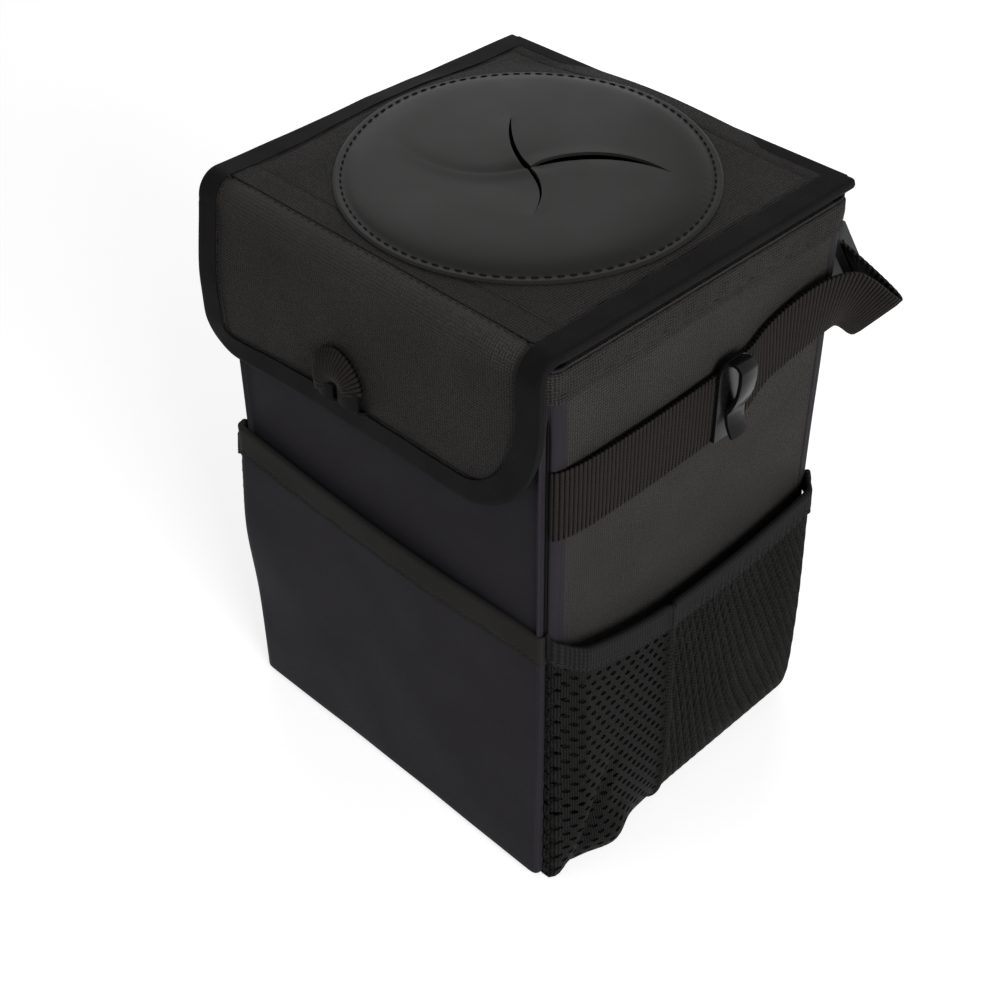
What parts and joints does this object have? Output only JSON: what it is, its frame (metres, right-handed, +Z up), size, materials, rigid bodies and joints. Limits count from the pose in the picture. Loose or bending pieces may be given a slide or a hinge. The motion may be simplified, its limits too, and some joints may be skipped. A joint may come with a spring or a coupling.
{
  "type": "car trash bin",
  "caption": "Soft-sided box bin for a car with a slit rubber inlet in a hinged lid, a front flap, cloth and mesh pockets, bag clips and a buckled strap behind.",
  "frame": {"origin": "centre of the underside of the base, on the surface it stands on", "axes": "+Z up through the lid, -Y towards the front flap, +X to the right side"},
  "size_m": [0.191, 0.1958, 0.2569],
  "materials": {
    "oxford_cloth": "woven, matt",
    "coated_cloth": "smooth coated, satin",
    "lining_cloth": "coated film, satin",
    "stiffener": "plain sheet",
    "binding_tape": "flat woven tape",
    "mesh_cloth": "knitted mesh",
    "elastic": "flat elastic",
    "webbing": "ribbed webbing",
    "clip_plastic": "moulded, polished",
    "buckle_plastic": "moulded, satin",
    "disc_rubber": "soft, satin",
    "hook_loop": "hook and loop"
  },
  "bodies": {
    "bin": {"front_panel": "coated_cloth", "back_panel": "coated_cloth", "right_panel": "oxford_cloth", "left_panel": "oxford_cloth", "base_panel": "oxford_cloth", "front_board": "stiffener", "back_board": "stiffener", "right_board": "stiffener", "left_board": "stiffener", "base_board": "stiffener", "liner": "lining_cloth", "rim_hem": "binding_tape", "loop_patch": "hook_loop", "front_pocket": "coated_cloth", "front_pocket_hem": "coated_cloth", "right_pocket": "mesh_cloth", "left_pocket": "mesh_cloth", "right_pocket_hem": "elastic", "left_pocket_hem": "elastic", "right_strap": "webbing", "left_strap": "webbing", "buckle_socket": "buckle_plastic", "buckle_plug": "buckle_plastic"},
    "lid": {"lid_cover": "oxford_cloth", "lid_board": "stiffener", "lid_lining": "lining_cloth", "right_lid_binding": "binding_tape", "left_lid_binding": "binding_tape", "slit_disc": "disc_rubber"},
    "flap": {"flap_cover": "oxford_cloth", "flap_board": "stiffener", "flap_lining": "lining_cloth", "flap_binding": "binding_tape", "pull_tab": "webbing", "hook_patch": "hook_loop"},
    "right_clip": {"right_clip": "clip_plastic"},
    "left_clip": {"left_clip": "clip_plastic"}
  },
  "joints": [
    {"name": "lid_hinge", "type": "hinge", "parent": "bin", "child": "lid", "pos_m": [0, 0.0776, 0.2452], "axis": [-1, 0, 0], "range_deg": [0, 180]},
    {"name": "flap_hinge", "type": "hinge", "parent": "lid", "child": "flap", "pos_m": [0, -0.0826, 0.25], "axis": [-1, 0, 0], "range_deg": [0, 180]},
    {"name": "right_clip_slide", "type": "slide", "parent": "bin", "child": "right_clip", "axis": [0, -1, 0], "range_m": [0, 0.05]},
    {"name": "left_clip_slide", "type": "slide", "parent": "bin", "child": "left_clip", "axis": [0, -1, 0], "range_m": [0, 0.05]}
  ]
}
